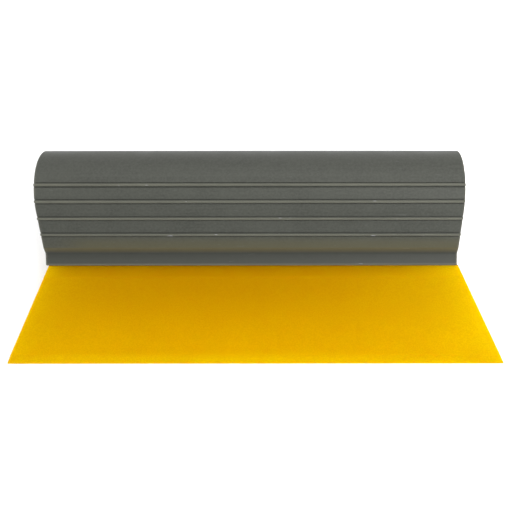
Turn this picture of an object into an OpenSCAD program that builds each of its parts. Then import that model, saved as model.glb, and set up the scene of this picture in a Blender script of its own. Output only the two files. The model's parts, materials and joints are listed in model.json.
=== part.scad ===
// Hand squeegee with a ribbed tube handle and a flared urethane blade.
// It lies as it rests on a bench: X runs along the tool, the working edge faces -Y, +Z is up.
// The section is drawn in the tool's own plane: s runs from the mouth of the jaws towards the back
// of the tube, and t is measured square to the blade from its middle plane.

/* [Handle] */
// Length of the extruded handle
handle_length = 113; // [60:1:400]
// Outer diameter of the tube
tube_d = 22.6; // [20:0.1:27.4]
// Diameter of the bore that runs through the tube
bore_d = 18; // [10:0.1:19]
// Distance from the mouth of the jaws to the back of the tube
handle_depth = 31.5; // [30:0.1:44]

/* [Jaws] */
// Flat length of each jaw's lip, measured back from the mouth
lip_length = 3.3; // [2:0.1:4]
// Thickness of each lip beside the blade
lip_t = 1.35; // [0.8:0.05:2.5]
// Length of the step between the lip and the ramp
step_run = 1.5; // [1:0.1:3]
// Height of the step between the lip and the ramp
step_rise = 1.6; // [1:0.05:2.5]
// Depth of the channel that holds the blade's root
channel_depth = 8.8; // [7:0.1:10]

/* [Ribs] */
// Number of grip ribs on each side of the handle
rib_count = 4; // [1:1:4]
// How far behind the tube's crest the first rib lies
rib_start = 1.7; // [0:0.1:5]
// Distance from the first rib to the second along the surface
first_gap = 4.4; // [3:0.1:5]
// Distance from each later rib to the next
rib_pitch = 4.9; // [3:0.05:5.2]
// Radius of each half-round rib
rib_r = 0.42; // [0.3:0.02:0.8]
// Radius of the crease at each foot of a rib
crease_r = 0.18; // [0.1:0.02:0.4]

/* [Blade] */
// Length of the blade's working edge
blade_width = 140; // [80:1:420]
// How far the blade stands out of the jaws
blade_reach = 28; // [15:0.1:40]
// Thickness of the blade where the jaws hold it
root_t = 3.6; // [2.5:0.1:4.2]
// Length of the thicker band that shows in front of the jaws
band_length = 3.8; // [1:0.1:8]
// Height of the moulded step at the end of that band, on each face
band_step = 0.12; // [0.05:0.01:0.4]
// Thickness of the blade where its edge bevel starts
tip_t = 2.2; // [1.6:0.1:2.4]
// Length of the bevel along the working edge
bevel_length = 2.8; // [1:0.1:5]
// Thickness left at the working edge
edge_t = 1.1; // [0.6:0.1:1.5]
// Diameter of the bead along the blade's root
bead_d = 5.2; // [4.6:0.1:6]
// How far each end of the blade's root stops short of the handle's end
root_gap = 0.3; // [0:0.1:3]
// How much longer than the handle the blade is where it leaves the jaws
flare_overhang = 0.3; // [0:0.1:4]
// How far the blade's middle lies to the right of the handle's middle where it leaves the jaws
flare_offset = 0.5; // [0:0.1:3]
// How far the working edge's middle lies to the right of the handle's middle
edge_offset = 0.9; // [0:0.1:3]

/* [Fit] */
// Gap between the blade's root and the channel, on each face
fit_gap = 0.05; // [0.02:0.01:0.1]

/* [Hidden] */
$fn = 96;

// Radius of the rounding at the lip's front corner, in the hollow of the step and at its top
mouth_round = 0.5;
hollow_round = 0.9;
step_round = 1.2;
// Points on each rounding
round_steps = 6;
// Extra length of a cutting tool past the surface it cuts
past = 1;
// Depth that each ramp runs into the tube's surface where the two meet
ramp_bite = 0.01;

tube_r = tube_d / 2;
tube_s = handle_depth - tube_r;
slot_half = root_t / 2 + fit_gap;
lip_half = slot_half + lip_t;
bead_r = bead_d / 2;
root_half = handle_length / 2 - root_gap;
flare_half = (handle_length + flare_overhang) / 2;
flare_middle = flare_offset - edge_offset;
bead_s = channel_depth - bead_r - fit_gap;

// The ramp leaves the top of the step and meets the tube almost tangentially
step_top = [lip_length + step_run, lip_half + step_rise];
ramp_reach = norm([tube_s, 0] - step_top);
touch_r = tube_r - ramp_bite;
ramp_slope = asin(touch_r / ramp_reach) - atan2(step_top[1], tube_s - step_top[0]);
ramp_end = [tube_s, 0] + touch_r * [-sin(ramp_slope), cos(ramp_slope)];
// Length of the tube's surface from its crest to the ramp
crest_to_ramp = tube_r * ramp_slope * PI / 180;

// A point on the upper surface at a distance u from the crest, measured towards the jaws
function on_tube(u) = [tube_s, 0] + tube_r * [-sin(u / tube_r * 180 / PI), cos(u / tube_r * 180 / PI)];
function on_ramp(u) = ramp_end - (u - crest_to_ramp) * [cos(ramp_slope), sin(ramp_slope)];
function on_surface(u) = u < crest_to_ramp ? on_tube(u) : on_ramp(u);
function rib_place(i) = -rib_start + (i == 0 ? 0 : first_gap + (i - 1) * rib_pitch);

// The corner b between points a and c, rounded to radius r
function unit(v) = v / norm(v);
function cross_2d(v, w) = v[0] * w[1] - v[1] * w[0];
function rounded(a, b, c, r) =
    let (
        p = unit(a - b),
        q = unit(c - b),
        half = acos(p * q) / 2,
        centre = b + unit(p + q) * r / sin(half),
        first = b + p * r / tan(half) - centre,
        turn = (180 - 2 * half) * sign(cross_2d(p, q)) * -1
    )
    [for (i = [0:round_steps])
        let (a_i = turn * i / round_steps)
        centre + [first[0] * cos(a_i) - first[1] * sin(a_i), first[0] * sin(a_i) + first[1] * cos(a_i)]
    ];

// A closed outline from its upper half, which starts and ends on the middle plane
function below(p) = [p[0], -p[1]];
function whole(upper) = concat(upper, [for (i = [len(upper) - 2:-1:1]) below(upper[i])]);

// The upper half of the jaws' outline, from the mouth to the tube's middle
lip_front = [0, lip_half];
lip_back = [lip_length, lip_half];
upper_jaw = concat(
    [[0, 0]],
    rounded([0, 0], lip_front, lip_back, mouth_round),
    rounded(lip_front, lip_back, step_top, hollow_round),
    rounded(lip_back, step_top, ramp_end, step_round),
    [ramp_end, [tube_s, 0]]
);

// The tool rests on its lowest rib and on the blade's working edge.
// This is the tilt that brings a circle under the tool level with the edge
edge_low = [-blade_reach, -edge_t / 2];
function level_tilt(centre, r) =
    asin(r / norm(centre - edge_low)) - atan2(centre[1] - edge_low[1], centre[0] - edge_low[0]);
tilt = max(concat(
    [level_tilt([tube_s, 0], tube_r)],
    [for (i = [0:rib_count - 1]) level_tilt(below(on_surface(rib_place(i))), rib_r)]
));
lift = blade_reach * sin(tilt) + edge_t / 2 * cos(tilt);
front_y = -blade_reach * cos(tilt) - edge_t / 2 * sin(tilt);
back_y = tube_s * cos(tilt) + tube_r;

// Turns a section drawn in s and t, extruded along the tool, into its resting place
module at_rest() {
    translate([0, -(front_y + back_y) / 2, lift])
        rotate([tilt, 0, 0])
            rotate([90, 0, 90])
                children();
}

// A stretch of extrusion along the tool, centred on its middle
module bar(length) {
    linear_extrude(height = length, center = true) children();
}

// A round bar whose axis passes through a point of the section
module round_bar(place, r, length) {
    translate([place[0], place[1], 0]) cylinder(r = r, h = length, center = true);
}

// The grip ribs on both faces of the handle
module ribs() {
    for (i = [0:rib_count - 1], side = [-1, 1])
        let (p = on_surface(rib_place(i)))
            round_bar([p[0], side * p[1]], rib_r, handle_length);
}

// The creases are cut from the surface before the ribs are added
module creases() {
    for (i = [0:rib_count - 1], side = [-1, 1], foot = [-1, 1])
        let (p = on_surface(rib_place(i) + foot * (rib_r + crease_r / 2)))
            round_bar([p[0], side * p[1]], crease_r, handle_length + 2 * past);
}

module tube_and_jaws() {
    round_bar([tube_s, 0], tube_r, handle_length);
    bar(handle_length) polygon(whole(upper_jaw));
}

// The keyhole-shaped channel that the blade's bead slides into
module channel() {
    bar(handle_length + 2 * past)
        translate([-past, -slot_half])
            square([bead_s + past, 2 * slot_half]);
    round_bar([bead_s, 0], bead_r + fit_gap, handle_length + 2 * past);
}

module tube_handle() {
    color([0.36, 0.37, 0.35])
        at_rest()
            translate([0, 0, -edge_offset])
                difference() {
                    union() {
                        difference() {
                            tube_and_jaws();
                            creases();
                        }
                        ribs();
                    }
                    round_bar([tube_s, 0], bore_d / 2, handle_length + 2 * past);
                    channel();
                }
}

// Half of the blade's side profile, from the bead to the working edge
band_end = -band_length;
bevel_start = bevel_length - blade_reach;
full_width = max(blade_width, 2 * flare_half + 2 * edge_offset) + 2 * past;
upper_blade = [
    [bead_s, 0],
    [bead_s, root_t / 2],
    [band_end, root_t / 2],
    [band_end, root_t / 2 - band_step],
    [bevel_start, tip_t / 2],
    [-blade_reach, edge_t / 2],
    [-blade_reach, 0]
];

// The blade seen square to its face: straight where it is held, flared where it stands out.
// It is drawn with 0 at the middle of the working edge
module blade_plan() {
    polygon([
        [-blade_reach, -blade_width / 2],
        [-blade_reach, blade_width / 2],
        [0, flare_middle + flare_half],
        [0, root_half - edge_offset],
        [channel_depth, root_half - edge_offset],
        [channel_depth, -root_half - edge_offset],
        [0, -root_half - edge_offset],
        [0, flare_middle - flare_half]
    ]);
}

module blade() {
    color([0.95, 0.70, 0.05])
        at_rest()
            intersection() {
                union() {
                    bar(full_width) polygon(whole(upper_blade));
                    round_bar([bead_s, 0], bead_r, full_width);
                }
                rotate([90, 0, 0])
                    bar(bead_d + 2 * past)
                        blade_plan();
            }
}

tube_handle();
blade();
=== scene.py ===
import json
import math

import bmesh
import bpy
from mathutils import Matrix, Vector
from mathutils.geometry import tessellate_polygon


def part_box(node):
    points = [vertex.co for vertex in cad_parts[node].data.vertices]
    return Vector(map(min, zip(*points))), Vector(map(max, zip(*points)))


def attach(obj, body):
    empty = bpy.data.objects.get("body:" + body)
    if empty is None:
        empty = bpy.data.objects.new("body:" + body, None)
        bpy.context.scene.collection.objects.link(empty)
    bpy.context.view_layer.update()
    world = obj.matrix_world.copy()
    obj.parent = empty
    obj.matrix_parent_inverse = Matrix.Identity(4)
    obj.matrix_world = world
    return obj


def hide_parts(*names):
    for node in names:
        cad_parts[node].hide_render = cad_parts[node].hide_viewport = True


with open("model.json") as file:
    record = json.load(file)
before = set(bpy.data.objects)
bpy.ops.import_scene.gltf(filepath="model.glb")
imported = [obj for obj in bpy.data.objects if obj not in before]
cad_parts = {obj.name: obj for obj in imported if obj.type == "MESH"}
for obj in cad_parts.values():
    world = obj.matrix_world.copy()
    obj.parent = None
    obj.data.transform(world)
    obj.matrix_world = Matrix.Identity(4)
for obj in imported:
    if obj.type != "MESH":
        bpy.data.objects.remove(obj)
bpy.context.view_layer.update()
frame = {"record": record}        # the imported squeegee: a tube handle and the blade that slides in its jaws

MM = 0.001

# ---------------------------------------------------------------- the frame
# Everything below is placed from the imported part. The tool's own space has X along the tool,
# s from the mouth of the jaws towards the back of the tube, and t square to the blade.
MOUNTS = {m["name"]: m for m in frame["record"]["mounts"]}
HANDLE_LOW, HANDLE_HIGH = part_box("tube_handle")
BLADE_LOW, BLADE_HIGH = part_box("blade")
TUBE_AXIS = Vector(MOUNTS["tube_bore"]["pos_m"])
BORE_R = MOUNTS["tube_bore"]["dims"]["r_mm"] * MM
EDGE_MIDDLE = Vector(MOUNTS["working_edge"]["pos_m"])
EDGE_OUT = Vector(MOUNTS["working_edge"]["axis"])
TILT = math.atan2(-EDGE_OUT.z, -EDGE_OUT.y)
ALONG = Vector((0, math.cos(TILT), math.sin(TILT)))
SQUARE = Vector((0, -math.sin(TILT), math.cos(TILT)))

# Sizes of the section, as the CAD model has them
TUBE_R = HANDLE_HIGH.y - TUBE_AXIS.y
BLADE_REACH = 28 * MM
MOUTH = EDGE_MIDDLE + ALONG * BLADE_REACH
TUBE_S = (TUBE_AXIS - MOUTH).dot(ALONG)

ROOT_HALF = 1.8 * MM
FIT_GAP = 0.05 * MM
SLOT_HALF = ROOT_HALF + FIT_GAP
CHANNEL_DEPTH = 8.8 * MM
LIP_T = 1.35 * MM
LIP_HALF = SLOT_HALF + LIP_T
LIP_LENGTH = 3.3 * MM
STEP_RUN = 1.5 * MM
STEP_RISE = 1.6 * MM
MOUTH_ROUND = 0.5 * MM
HOLLOW_ROUND = 0.9 * MM
STEP_ROUND = 1.2 * MM

RIB_COUNT = 4
RIB_START = -1.7 * MM
FIRST_GAP = 4.4 * MM
RIB_PITCH = 4.9 * MM
RIB_R = 0.42 * MM
CREASE_R = 0.18 * MM

BEAD_R = 2.6 * MM
BEAD_S = CHANNEL_DEPTH - BEAD_R - FIT_GAP
NECK_S = BEAD_S - math.sqrt(BEAD_R ** 2 - ROOT_HALF ** 2)
BAND_LENGTH = 3.8 * MM
BAND_STEP = 0.12 * MM
TIP_HALF = 1.1 * MM
BEVEL_LENGTH = 2.8 * MM
BEVEL_START = BEVEL_LENGTH - BLADE_REACH
EDGE_HALF = 0.55 * MM
ROOT_GAP = 0.3 * MM
FLARE_OVERHANG = 0.3 * MM
FLARE_OFFSET = 0.5 * MM
FLARE_LEFT = HANDLE_LOW.x + FLARE_OFFSET - FLARE_OVERHANG / 2
FLARE_RIGHT = HANDLE_HIGH.x + FLARE_OFFSET + FLARE_OVERHANG / 2

# Details that only the visual model has
SLOT_ROUND = 0.15 * MM      # rounding where each lip's front turns into the slot
SAW_CHAMFER = 0.15 * MM     # broken corner round each sawn end
SAW_RIM = 0.6 * MM          # width of the paler rim round each sawn end
BAND_SLOPE = 0.6 * MM       # length over which the moulded step on the blade slopes
BLADE_ROUND = 0.16 * MM     # rounding of the blade's own corners

# The jaws' corners get less painted highlight than the ribs' crests, which have 1. A full crease has 1
# of painted shade, and has less behind the first rib and along the lips
STEP_HIGHLIGHT = 0.1
LIP_HIGHLIGHT = 0.6
FIRST_RIB_BACK_SHADE = 0.4            # less painted shade behind the first rib
LIP_SHADE = ((2.6, 0.9), (2.0, 0.45), (1.4, 0.0), (0.7, 0.0))        # (mm from the mouth, painted shade)

# Light that comes in through the blade's cut sides: its strength there and how far it carries.
# The right side faces the stronger light
NEAR_GLOW = (0.4, 3 * MM)
LEFT_GLOW = (0.36, 14 * MM)
RIGHT_GLOW = (0.7, 20 * MM)

# How finely the curved surfaces are divided
SURFACE_SPACING = 0.45 * MM
CORNER_STEPS = 6
SLOT_CORNER_STEPS = 3
RIB_STEPS = 12
CREASE_STEPS = 6
CHANNEL_STEPS = 16
BORE_STEPS = 96
TAPER_STEPS = 12
EDGE_STEPS = 5
BLADE_CORNER_STEPS = 4
MIDDLE_COLUMNS = 60
SIDE_COLUMNS = 12
SIDE_WIDTH = 10 * MM        # the columns lie closer together this near to the blade's sides
SIDE_CROWDING = 1.6
SHARP_ANGLE = math.radians(40)


def place(x, s, t):
    """Carries a point of the tool's own space to its resting place."""
    return MOUTH + Vector((x - MOUTH.x, 0, 0)) + ALONG * s + SQUARE * t


# ---------------------------------------------------------------- outlines
def unit(v):
    size = math.hypot(*v)
    return (v[0] / size, v[1] / size)


def corner(a, b, c, r, steps=CORNER_STEPS):
    """Points of the corner b, between a and c, rounded to radius r."""
    p = unit((a[0] - b[0], a[1] - b[1]))
    q = unit((c[0] - b[0], c[1] - b[1]))
    half = math.acos(p[0] * q[0] + p[1] * q[1]) / 2
    middle = unit((p[0] + q[0], p[1] + q[1]))
    centre = (b[0] + middle[0] * r / math.sin(half), b[1] + middle[1] * r / math.sin(half))
    start_x = b[0] + p[0] * r / math.tan(half) - centre[0]
    start_y = b[1] + p[1] * r / math.tan(half) - centre[1]
    side = -1 if p[0] * q[1] - p[1] * q[0] > 0 else 1
    points = []
    for i in range(steps + 1):
        turn = side * (math.pi - 2 * half) * i / steps
        x = start_x * math.cos(turn) - start_y * math.sin(turn)
        y = start_x * math.sin(turn) + start_y * math.cos(turn)
        points.append((centre[0] + x, centre[1] + y))
    return points


STEP_TOP = (LIP_LENGTH + STEP_RUN, LIP_HALF + STEP_RISE)
RAMP_REACH = math.hypot(TUBE_S - STEP_TOP[0], STEP_TOP[1])
RAMP_SLOPE = math.asin(TUBE_R / RAMP_REACH) - math.atan2(STEP_TOP[1], TUBE_S - STEP_TOP[0])
RAMP_END = (TUBE_S - TUBE_R * math.sin(RAMP_SLOPE), TUBE_R * math.cos(RAMP_SLOPE))
CREST_TO_RAMP = TUBE_R * RAMP_SLOPE
RAMP_LENGTH = math.hypot(RAMP_END[0] - STEP_TOP[0], RAMP_END[1] - STEP_TOP[1])


def on_surface(u, height=0.0):
    """A point above the handle's upper surface, u from the tube's crest towards the jaws."""
    if u < CREST_TO_RAMP:
        angle = u / TUBE_R
        r = TUBE_R + height
        return (TUBE_S - r * math.sin(angle), r * math.cos(angle))
    along = u - CREST_TO_RAMP
    s = RAMP_END[0] - along * math.cos(RAMP_SLOPE) - height * math.sin(RAMP_SLOPE)
    t = RAMP_END[1] - along * math.sin(RAMP_SLOPE) + height * math.cos(RAMP_SLOPE)
    return (s, t)


# Each row of the handle's outline is (s, t, crest, crease): crest goes up to 1 where a highlight is
# painted, and crease goes up to 1 where shade is painted
def smooth_rows(start, end, first):
    """The plain surface from start to end, from its point number first and without its last."""
    count = max(2, round((end - start) / SURFACE_SPACING))
    return [(*on_surface(start + (end - start) * k / count), 0.0, 0.0) for k in range(first, count)]


def rib_rows(u, back_shade):
    """One rib, a half-round bead between two creases, with its middle at u."""
    foot = RIB_R + CREASE_R / 2
    angles = [math.pi * k / CREASE_STEPS for k in range(1, CREASE_STEPS)]
    dip = [(CREASE_R * math.cos(a), CREASE_R * math.sin(a)) for a in angles]
    rows = [(*on_surface(u - foot - CREASE_R), 0.0, 0.0)]
    rows += [(*on_surface(u - foot - across, -depth), 0.0, back_shade) for across, depth in dip]
    for k in range(RIB_STEPS + 1):
        a = math.pi * k / RIB_STEPS
        rows.append((*on_surface(u - RIB_R * math.cos(a), RIB_R * math.sin(a)), math.sin(a), 0.0))
    rows += [(*on_surface(u + foot - across, -depth), 0.0, 1.0) for across, depth in dip]
    rows.append((*on_surface(u + foot + CREASE_R), 0.0, 0.0))
    return rows


def jaw_rows():
    """The step, the hollow and the lip of the upper jaw, down to its mouth."""
    ramp_point = on_surface(CREST_TO_RAMP + RAMP_LENGTH / 2)
    lip_back = (LIP_LENGTH, LIP_HALF)
    lip_front = (0.0, LIP_HALF)
    mouth = (0.0, SLOT_HALF)
    # The step's rounded top and the mouth's corner get painted highlight, and the hollow and the lip painted
    # shade
    rows = [(*p, STEP_HIGHLIGHT, 0.0) for p in corner(ramp_point, STEP_TOP, lip_back, STEP_ROUND)]
    rows += [(*p, 0.0, 1.0) for p in corner(STEP_TOP, lip_back, lip_front, HOLLOW_ROUND)]
    rows += [(from_mouth * MM, LIP_HALF, 0.0, painted_shade) for from_mouth, painted_shade in LIP_SHADE]
    rows += [(*p, LIP_HIGHLIGHT, 0.0) for p in corner(lip_back, lip_front, mouth, MOUTH_ROUND)]
    return rows


def upper_outline():
    """From the back of the tube over the top to the mouth of the upper jaw."""
    ribs = [RIB_START] + [RIB_START + FIRST_GAP + i * RIB_PITCH for i in range(RIB_COUNT - 1)]
    clear = RIB_R + 1.5 * CREASE_R      # from a rib's middle to the far side of its crease
    ends = [u - clear for u in ribs[1:]] + [CREST_TO_RAMP + RAMP_LENGTH - STEP_ROUND]
    rows = smooth_rows(-TUBE_R * math.pi / 2, ribs[0] - clear, 0)
    for u, end in zip(ribs, ends):
        # Less painted shade in the crease behind the first rib
        back_shade = FIRST_RIB_BACK_SHADE if u == RIB_START else 1.0
        rows += rib_rows(u, back_shade) + smooth_rows(u + clear, end, 1)
    return rows + jaw_rows()


def channel_outline():
    """The keyhole channel, from the mouth's upper corner round the bead to the middle plane."""
    slot_front = (0.0, SLOT_HALF)
    slot_back = (BEAD_S, SLOT_HALF)
    rounding = corner((0.0, LIP_HALF), slot_front, slot_back, SLOT_ROUND, SLOT_CORNER_STEPS)
    rows = [(*p, 0.0, 0.0) for p in rounding]
    r = BEAD_R + FIT_GAP
    start = math.pi - math.asin(SLOT_HALF / r)
    for i in range(CHANNEL_STEPS + 1):
        angle = start * (1 - i / CHANNEL_STEPS)
        rows.append((BEAD_S + r * math.cos(angle), r * math.sin(angle), 0.0, 0.0))
    return rows


def handle_outline():
    """The closed outer outline, without the bore."""
    upper = upper_outline() + channel_outline()
    lower = [(s, -t, crest, crease) for s, t, crest, crease in reversed(upper[1:-1])]
    return upper + lower


def inset(loop, distance):
    """A closed outline moved inwards (the loop runs anticlockwise) by a distance."""
    out = []
    for i, p in enumerate(loop):
        a, b = loop[i - 1], loop[(i + 1) % len(loop)]
        d = unit((b[0] - a[0], b[1] - a[1]))
        out.append((p[0] - d[1] * distance, p[1] + d[0] * distance))
    return out


def anticlockwise(rows):
    """The same outline, turned round if it runs clockwise."""
    size = sum(a[0] * b[1] - b[0] * a[1] for a, b in zip(rows, rows[1:] + rows[:1]))
    return rows if size > 0 else rows[::-1]


# ---------------------------------------------------------------- meshes
def new_piece(name, verts, faces):
    """A piece from points given in the tool's own space, with its faces turned outwards."""
    work = bmesh.new()
    points = [work.verts.new(place(*v)) for v in verts]
    for face in faces:
        work.faces.new([points[i] for i in face])
    bmesh.ops.recalc_face_normals(work, faces=work.faces)
    mesh = bpy.data.meshes.new(name)
    work.to_mesh(mesh)
    work.free()
    mesh.polygons.foreach_set("use_smooth", [True] * len(mesh.polygons))
    mesh.set_sharp_from_angle(angle=SHARP_ANGLE)
    obj = bpy.data.objects.new(name, mesh)
    bpy.context.scene.collection.objects.link(obj)
    return obj


def point_values(obj, name, values):
    """Gives each point of a piece a value that its material reads."""
    attribute = obj.data.attributes.new(name, "FLOAT", "POINT")
    attribute.data.foreach_set("value", values)


def ring_faces(first, count, ring):
    """The faces between a closed loop of count points and the same loop in the next ring."""
    pairs = [(first + i, first + (i + 1) % count) for i in range(count)]
    return [(a, b, b + ring, a + ring) for a, b in pairs]


def build_handle():
    outer = anticlockwise(handle_outline())
    bore = []       # it runs clockwise, so that inset() moves it into the wall
    for i in range(BORE_STEPS):
        angle = -2 * math.pi * i / BORE_STEPS
        bore.append((TUBE_S + BORE_R * math.cos(angle), BORE_R * math.sin(angle), 0.0, 0.0))

    # Each station is (x, how far the outlines are set in, share of the saw's marks)
    left, right = HANDLE_LOW.x, HANDLE_HIGH.x
    stations = [(left, SAW_CHAMFER, 1.0), (left + SAW_CHAMFER, 0.0, 0.7), (left + SAW_RIM, 0.0, 0.0)]
    stations += [(left + right - x, gap, cut) for x, gap, cut in reversed(stations)]

    verts, crests, creases, cuts = [], [], [], []
    for x, gap, cut in stations:
        for loop in (outer, bore):
            for (s, t), row in zip(inset(loop, gap), loop):
                verts.append((x, s, t))
                crests.append(row[2])
                creases.append(row[3])
                cuts.append(cut)

    faces = []
    ring = len(outer) + len(bore)
    for k in range(len(stations) - 1):
        faces += ring_faces(k * ring, len(outer), ring)
        faces += ring_faces(k * ring + len(outer), len(bore), ring)
    for k in (0, len(stations) - 1):
        end = [Vector((s, t, 0)) for _, s, t in verts[k * ring:(k + 1) * ring]]
        for corners in tessellate_polygon([end[:len(outer)], end[len(outer):]]):
            faces.append(tuple(k * ring + i for i in corners))

    piece = new_piece("handle_extrusion", verts, faces)
    point_values(piece, "crest", crests)
    point_values(piece, "crease", creases)
    point_values(piece, "cut", cuts)
    return piece


def half_thickness(s):
    """Half the blade's thickness at s."""
    if s > NECK_S:
        return math.sqrt(BEAD_R ** 2 - (s - BEAD_S) ** 2)
    if s > -BAND_LENGTH:
        return ROOT_HALF - BAND_STEP * max(0.0, 1 - (s + BAND_LENGTH) / BAND_SLOPE)
    if s > BEVEL_START:
        share = (-BAND_LENGTH - s) / (-BAND_LENGTH - BEVEL_START)
        return (ROOT_HALF - BAND_STEP) * (1 - share) + TIP_HALF * share
    share = (BEVEL_START - s) / BEVEL_LENGTH
    return TIP_HALF * (1 - share) + EDGE_HALF * share


def side_limits(s):
    """The blade's left and right ends at s: straight where it is held, flared where it stands out."""
    if s > 0:
        return HANDLE_LOW.x + ROOT_GAP, HANDLE_HIGH.x - ROOT_GAP
    share = -s / BLADE_REACH
    left = FLARE_LEFT * (1 - share) + BLADE_LOW.x * share
    right = FLARE_RIGHT * (1 - share) + BLADE_HIGH.x * share
    return left, right


def blade_stations():
    """Places along s where the blade has a ring, closer together where its thickness turns.

    The ring just behind 0 still has the root's width, and the one at 0 has the flare's.
    """
    bead = [BEAD_S + BEAD_R * math.cos(math.radians(angle)) for angle in range(6, 133, 7)]
    root = [NECK_S, 2 * MM, 0.02 * MM, 0.0, -0.7 * MM, -1.5 * MM, -3 * MM]
    step = [BAND_SLOPE - BAND_LENGTH, BAND_SLOPE / 2 - BAND_LENGTH, -BAND_LENGTH]
    taper_from = -BAND_LENGTH - 0.3 * MM
    taper_to = BEVEL_START + 0.3 * MM
    taper = [taper_from + (taper_to - taper_from) * i / TAPER_STEPS for i in range(TAPER_STEPS + 1)]
    bevel = [BEVEL_START - distance * MM for distance in (-0.1, 0.1, 0.8, 1.7)]
    edge = [0.3 * MM - BLADE_REACH]
    return bead + root + step + taper + bevel + edge


def blade_columns(left, right):
    """Places along x, closer together near the two sides."""
    near = [SIDE_WIDTH * (i / SIDE_COLUMNS) ** SIDE_CROWDING for i in range(SIDE_COLUMNS)]
    width = right - left - 2 * SIDE_WIDTH
    inner = [left + SIDE_WIDTH + width * i / MIDDLE_COLUMNS for i in range(MIDDLE_COLUMNS + 1)]
    return [left + d for d in near] + inner + [right - d for d in reversed(near)]


def quarter_turn(x, t, r, start_deg):
    """Points clockwise round (x, t) over a quarter turn, without its first."""
    step = 90 / BLADE_CORNER_STEPS
    angles = [math.radians(start_deg - step * i) for i in range(1, BLADE_CORNER_STEPS + 1)]
    return [(x + r * math.cos(a), t + r * math.sin(a)) for a in angles]


def blade_ring(left, right, half):
    """A rounded rectangle in x and t, from its upper left corner clockwise."""
    r = BLADE_ROUND
    columns = blade_columns(left + r, right - r)
    points = [(x, half) for x in columns]
    points += quarter_turn(right - r, half - r, r, 90) + quarter_turn(right - r, r - half, r, 0)
    points += [(x, -half) for x in reversed(columns[:-1])]
    points += quarter_turn(left + r, r - half, r, -90) + quarter_turn(left + r, half - r, r, 180)[:-1]
    return points


def faded(glow, distance):
    strength, carry = glow
    return strength * math.exp(-max(0.0, distance) / carry)


def side_glow(from_left, from_right):
    """How much light reaches a point of the blade through its two cut sides."""
    near = faded(NEAR_GLOW, min(from_left, from_right))
    return min(1.0, near + faded(LEFT_GLOW, from_left) + faded(RIGHT_GLOW, from_right))


def build_blade():
    rings = [(s, *side_limits(s), half_thickness(s)) for s in blade_stations()]
    for i in range(1, EDGE_STEPS + 1):      # the working edge's own rounding
        angle = math.pi / 2 * i / EDGE_STEPS
        s = BLADE_ROUND * (1 - math.sin(angle)) - BLADE_REACH
        gap = BLADE_ROUND * (1 - math.cos(angle))
        left, right = side_limits(s)
        rings.append((s, left + gap, right - gap, EDGE_HALF - gap))

    verts, glows = [], []
    for s, left, right, half in rings:
        for x, t in blade_ring(left, right, half):
            verts.append((x, s, t))
            glows.append(side_glow(x - left, right - x) if s <= 0 else 0.0)

    count = len(verts) // len(rings)
    last = len(rings) - 1
    faces = [face for k in range(last) for face in ring_faces(k * count, count, count)]
    faces += [tuple(range(count)), tuple(range(last * count, len(verts)))]

    piece = new_piece("urethane_blade", verts, faces)
    point_values(piece, "margin", glows)
    return piece


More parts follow.
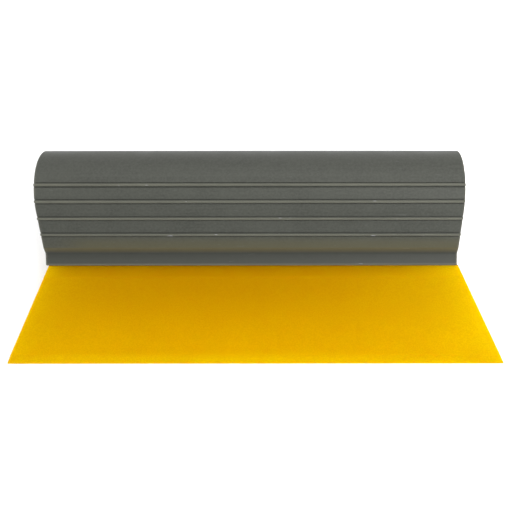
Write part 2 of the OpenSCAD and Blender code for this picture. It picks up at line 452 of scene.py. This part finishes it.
# ---------------------------------------------------------------- materials
class Shader:
    """A material's node tree, with short ways to add the nodes that the finishes below share."""

    def __init__(self, name):
        self.material = bpy.data.materials.new(name)
        self.material.use_nodes = True
        self.nodes = self.material.node_tree.nodes
        self.links = self.material.node_tree.links
        self.surface = self.nodes["Principled BSDF"]

    def feed(self, socket, value):
        """Links a node's output to a socket, or sets the socket to a plain number or colour."""
        if isinstance(value, bpy.types.NodeSocket):
            self.links.new(value, socket)
        else:
            socket.default_value = value

    def set(self, **sockets):
        """Feeds the main shader's sockets, named with _ for each space."""
        for name, value in sockets.items():
            self.feed(self.surface.inputs[name.replace("_", " ")], value)

    def tool_coordinates(self):
        """Coordinates in the tool's own space, in metres: x along it, then s, then t."""
        source = self.nodes.new("ShaderNodeTexCoord")
        mapping = self.nodes.new("ShaderNodeMapping")
        mapping.vector_type = "TEXTURE"
        mapping.inputs["Location"].default_value = MOUTH
        mapping.inputs["Rotation"].default_value = (TILT, 0, 0)
        self.links.new(source.outputs["Object"], mapping.inputs["Vector"])
        return mapping.outputs["Vector"]

    def stretched(self, vector, scale):
        """The coordinates scaled along each axis, so that a noise has its own grain along each."""
        mapping = self.nodes.new("ShaderNodeMapping")
        mapping.inputs["Scale"].default_value = scale
        self.links.new(vector, mapping.inputs["Vector"])
        return mapping.outputs["Vector"]

    def noise(self, vector, scale, detail=2.0, roughness=0.5):
        node = self.nodes.new("ShaderNodeTexNoise")
        node.inputs["Scale"].default_value = scale
        node.inputs["Detail"].default_value = detail
        node.inputs["Roughness"].default_value = roughness
        self.links.new(vector, node.inputs["Vector"])
        return node.outputs["Fac"]

    def math(self, operation, a, b, clamp=False):
        node = self.nodes.new("ShaderNodeMath")
        node.operation = operation
        node.use_clamp = clamp
        self.feed(node.inputs[0], a)
        self.feed(node.inputs[1], b)
        return node.outputs[0]

    def span(self, value, low, high, to_low=0.0, to_high=1.0):
        """Maps low..high of a value to to_low..to_high, smoothly and held at both ends."""
        node = self.nodes.new("ShaderNodeMapRange")
        node.interpolation_type = "SMOOTHSTEP"
        self.links.new(value, node.inputs["Value"])
        ends = {"From Min": low, "From Max": high, "To Min": to_low, "To Max": to_high}
        for name, number in ends.items():
            node.inputs[name].default_value = number
        return node.outputs["Result"]

    def between(self, distance, rise, fall, most):
        """Rises from 0 to most over one stretch, given in mm, and falls back to 0 over another."""
        up = self.span(distance, rise[0] * MM, rise[1] * MM, 0.0, most)
        down = self.span(distance, fall[0] * MM, fall[1] * MM, 1.0, 0.0)
        return self.math("MULTIPLY", up, down)

    def attribute(self, name):
        node = self.nodes.new("ShaderNodeAttribute")
        node.attribute_name = name
        return node.outputs["Fac"]

    def axis(self, vector, name):
        node = self.nodes.new("ShaderNodeSeparateXYZ")
        self.links.new(vector, node.inputs[0])
        return node.outputs[name]

    def blend(self, factor, a, b):
        """Goes from colour a to colour b. A plain colour is linear red, green and blue."""
        node = self.nodes.new("ShaderNodeMix")
        node.data_type = "RGBA"
        self.feed(node.inputs["Factor"], factor)
        for name, colour in (("A", a), ("B", b)):
            self.feed(node.inputs[name], (*colour, 1) if isinstance(colour, tuple) else colour)
        return node.outputs["Result"]

    def bump(self, height, distance, under=None):
        node = self.nodes.new("ShaderNodeBump")
        node.inputs["Distance"].default_value = distance
        node.inputs["Strength"].default_value = 1.0
        self.links.new(height, node.inputs["Height"])
        if under is not None:
            self.links.new(under, node.inputs["Normal"])
        return node.outputs["Normal"]


def handle_material():
    """Warm-grey extruded vinyl: die lines along it, fine grain and sawn ends, with painted highlights on the
    ribs, painted shade in the creases and on the lips, and painted reflections of the blade.
    """
    sh = Shader("grey_vinyl")
    tool = sh.tool_coordinates()
    x = sh.axis(tool, "X")
    s = sh.axis(tool, "Y")
    die_lines = sh.noise(sh.stretched(tool, (6, 1500, 1500)), 1.0, 3.0, 0.6)
    mottle = sh.noise(tool, 110.0, 3.0, 0.55)
    grain = sh.noise(tool, 1700.0, 2.0, 0.6)
    crest = sh.attribute("crest")
    crease = sh.attribute("crease")
    cut = sh.attribute("cut")

    dark = (0.0275, 0.0293, 0.0235)
    light = (0.0348, 0.0368, 0.0298)
    colour = sh.blend(sh.span(mottle, 0.3, 0.7), dark, light)
    colour = sh.blend(sh.span(die_lines, 0.35, 0.75, 0.0, 0.35), colour, (0.043, 0.0455, 0.037))
    colour = sh.blend(sh.span(grain, 0.3, 0.7, 0.0, 0.5), colour, (0.05, 0.0525, 0.0435))

    # The lips are painted darker, a painted shade, most of all in the hollow behind them
    colour = sh.blend(sh.span(s, 3.5 * MM, 4.4 * MM, 0.85, 0.0), colour, (0.0262, 0.0278, 0.0222))
    hollow = sh.between(s, (1.6, 3.1), (3.3, 3.8), 0.4)
    colour = sh.blend(hollow, colour, (0.0155, 0.0162, 0.0085))

    # The foot of each ramp has a painted warm reflection of the amber blade, which fades towards the
    # left end, and the face of the step a browner painted reflection. The front of each lip has a painted
    # highlight
    ramp_reflection = sh.between(s, (3.2, 4.2), (5.5, 9.0), 0.8)
    from_left = sh.span(x, HANDLE_LOW.x + 2 * MM, HANDLE_LOW.x + 14 * MM, 0.25, 1.0)
    colour = sh.blend(sh.math("MULTIPLY", ramp_reflection, from_left), colour, (0.052, 0.048, 0.0245))
    step_reflection = sh.between(s, (3.6, 4.1), (4.8, 5.2), 0.8)
    colour = sh.blend(step_reflection, colour, (0.058, 0.0475, 0.0195))
    colour = sh.blend(sh.span(s, 0.1 * MM, 0.8 * MM, 0.6, 0.0), colour, (0.075, 0.067, 0.038))

    # The ribs' crests are painted paler in patches, a painted highlight, and the creases darker, a painted
    # shade
    highlight_patches = sh.noise(sh.stretched(tool, (60, 500, 500)), 1.0)
    crest_highlight = sh.math("MULTIPLY", sh.span(crest, 0.15, 0.8), sh.span(highlight_patches, 0.2, 0.7, 0.6, 1.0))
    colour = sh.blend(crest_highlight, colour, (0.07216, 0.07304, 0.05632))
    colour = sh.blend(sh.math("MULTIPLY", crease, 0.62), colour, (0.022, 0.0231, 0.0187))

    # Small pale nicks, almost all of them on the crests
    nicks = sh.span(sh.noise(sh.stretched(tool, (330, 1400, 1400)), 1.0, 1.0), 0.72, 0.78)
    nicks = sh.math("MULTIPLY", nicks, sh.span(crest, 0.2, 0.9, 0.04, 0.6), clamp=True)
    colour = sh.blend(nicks, colour, (0.26, 0.265, 0.28))

    # The saw leaves fine lines and a rougher face, and the colour is paler round each end
    saw = sh.noise(sh.stretched(tool, (40, 260, 2600)), 1.0)
    sawn = sh.math("MULTIPLY", cut, sh.span(saw, 0.3, 0.7, 0.35, 1.0))
    colour = sh.blend(sh.math("MULTIPLY", sawn, 0.8), colour, (0.11, 0.108, 0.085))

    roughness = sh.span(mottle, 0.25, 0.75, 0.54, 0.64)
    roughness = sh.math("ADD", roughness, sh.math("MULTIPLY", crest_highlight, 0.04))
    roughness = sh.math("ADD", roughness, sh.math("MULTIPLY", cut, 0.2), clamp=True)
    normal = sh.bump(die_lines, 0.03 * MM)
    normal = sh.bump(grain, 0.02 * MM, normal)
    normal = sh.bump(sh.math("MULTIPLY", saw, cut), 0.06 * MM, normal)
    sh.set(Base_Color=colour, Roughness=roughness, Normal=normal, Specular_IOR_Level=0.3)
    return sh.material


def blade_material():
    """Translucent amber urethane: deeper towards the jaws, where it is thicker and has painted shade, and
    painted bright where light enters its cut sides.
    """
    sh = Shader("amber_urethane")
    tool = sh.tool_coordinates()
    s = sh.axis(tool, "Y")
    grain = sh.noise(tool, 2800.0, 2.0, 0.6)
    cloud = sh.noise(tool, 60.0, 3.0)
    margin = sh.attribute("margin")

    deep = (0.295, 0.14, 0.0)
    amber = (0.46, 0.25, 0.0)
    bright = (0.535, 0.362, 0.0)
    # Darker towards the jaws, for the thicker root and for painted shade from the handle; brighter at the cut
    # sides and the thin front, painted light that comes through them
    colour = sh.blend(sh.span(s, -BLADE_REACH, 0.0, 1.0, 0.0), deep, amber)
    front = sh.span(s, -BLADE_REACH, 4.5 * MM - BLADE_REACH, 0.75, 0.0)
    colour = sh.blend(sh.math("MAXIMUM", margin, front), colour, bright)
    colour = sh.blend(sh.span(cloud, 0.3, 0.7, 0.0, 0.12), colour, (0.30, 0.14, 0.0))
    colour = sh.blend(sh.span(grain, 0.3, 0.7, 0.0, 0.3), colour, (0.25, 0.12, 0.0))

    # The band beside the jaws has a painted shadow of the handle, except at its two ends, and a
    # painted contact shadow is a dark line where the lips touch the blade
    jaw_shadow = sh.span(s, -4.4 * MM, -0.8 * MM, 0.0, 0.3)
    jaw_shadow = sh.math("MULTIPLY", jaw_shadow, sh.span(margin, 0.25, 0.6, 1.0, 0.0))
    colour = sh.blend(jaw_shadow, colour, (0.17, 0.075, 0.0))
    colour = sh.blend(sh.span(s, -0.3 * MM, 0.0, 0.0, 0.85), colour, (0.1, 0.03, 0.0))

    roughness = sh.span(cloud, 0.3, 0.7, 0.36, 0.44)
    normal = sh.bump(grain, 0.012 * MM)
    sh.set(Base_Color=colour, Roughness=roughness, Normal=normal)
    sh.set(Specular_IOR_Level=0.12, Specular_Tint=(1.0, 0.6, 0.02, 1))
    sh.set(Subsurface_Weight=0.8, Subsurface_Scale=3 * MM, Subsurface_Radius=(1.0, 0.5, 0.02))
    return sh.material


def floor_material():
    """A pale seamless sheet with a faint tooth."""
    sh = Shader("pale_floor")
    source = sh.nodes.new("ShaderNodeTexCoord")
    tooth = sh.noise(source.outputs["Object"], 900.0)
    sh.set(Base_Color=(0.97, 0.97, 0.97, 1), Roughness=0.8, Specular_IOR_Level=0.2)
    sh.set(Normal=sh.bump(tooth, 0.02 * MM))
    return sh.material


# ---------------------------------------------------------------- camera, floor and light
CAMERA_ELEVATION = math.radians(80.9)
CAMERA_ROLL = math.radians(-0.05)
CAMERA_DISTANCE = 196.2 * MM
CAMERA_LENS = 50.2
CAMERA_SHIFT = -0.0586
# Where the camera looks: to the right of the middle of the upper lip's front, and up the picture
AIM_RIGHT = 8.6 * MM
AIM_UP = 2.62 * MM

FLOOR_HALF = 3.0
WORLD_STRENGTH = 0.5
# The name, place, size and power of each light. All of them face the tool
SOFTBOXES = [
    ("front_softbox", (0.1, -0.8, 0.95), (1.6, 0.8), 4.4),
    ("back_softbox", (0.1, 0.75, 0.95), (1.6, 0.9), 12.5),
    ("left_softbox", (-0.42, -0.05, 0.34), (0.3, 0.5), 0.9),
    ("right_softbox", (0.42, -0.12, 0.34), (0.3, 0.5), 4.6),
]


def build_camera():
    data = bpy.data.cameras.new("camera")
    data.sensor_width = 36
    data.lens = CAMERA_LENS
    data.shift_x = CAMERA_SHIFT
    data.clip_start = 0.01
    data.clip_end = 20
    camera = bpy.data.objects.new("camera", data)
    bpy.context.scene.collection.objects.link(camera)
    look = Vector((0, math.cos(CAMERA_ELEVATION), -math.sin(CAMERA_ELEVATION)))
    image_up = Vector((0, math.sin(CAMERA_ELEVATION), math.cos(CAMERA_ELEVATION)))
    aim = MOUTH + SQUARE * LIP_HALF + image_up * AIM_UP + Vector((AIM_RIGHT, 0, 0))
    camera.matrix_world = (
        Matrix.Translation(aim - look * CAMERA_DISTANCE)
        @ Matrix.Rotation(math.pi / 2 - CAMERA_ELEVATION, 4, "X")
        @ Matrix.Rotation(CAMERA_ROLL, 4, "Z")
    )
    bpy.context.scene.camera = camera


def build_softbox(name, spot, size, power):
    data = bpy.data.lights.new(name, "AREA")
    data.shape = "RECTANGLE"
    data.size, data.size_y = size
    data.energy = power
    light = bpy.data.objects.new(name, data)
    bpy.context.scene.collection.objects.link(light)
    light.location = spot
    light.rotation_euler = (-Vector(spot)).to_track_quat("-Z", "Y").to_euler()


def build_stage():
    half = FLOOR_HALF
    mesh = bpy.data.meshes.new("floor")
    corners = [(-half, -half, 0), (half, -half, 0), (half, half, 0), (-half, half, 0)]
    mesh.from_pydata(corners, [], [(0, 1, 2, 3)])
    floor = bpy.data.objects.new("floor", mesh)
    bpy.context.scene.collection.objects.link(floor)
    mesh.materials.append(floor_material())

    world = bpy.data.worlds.new("studio")
    bpy.context.scene.world = world
    world.use_nodes = True
    background = world.node_tree.nodes["Background"]
    background.inputs["Color"].default_value = (1, 1, 1, 1)
    background.inputs["Strength"].default_value = WORLD_STRENGTH
    for softbox in SOFTBOXES:
        build_softbox(*softbox)
    bpy.context.scene.view_settings.view_transform = "Standard"


# ---------------------------------------------------------------- the object
build_camera()
handle = build_handle()
handle.data.materials.append(handle_material())
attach(handle, "handle")
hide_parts("tube_handle")

blade = build_blade()
blade.data.materials.append(blade_material())
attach(blade, "blade_body")
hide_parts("blade")

build_stage()
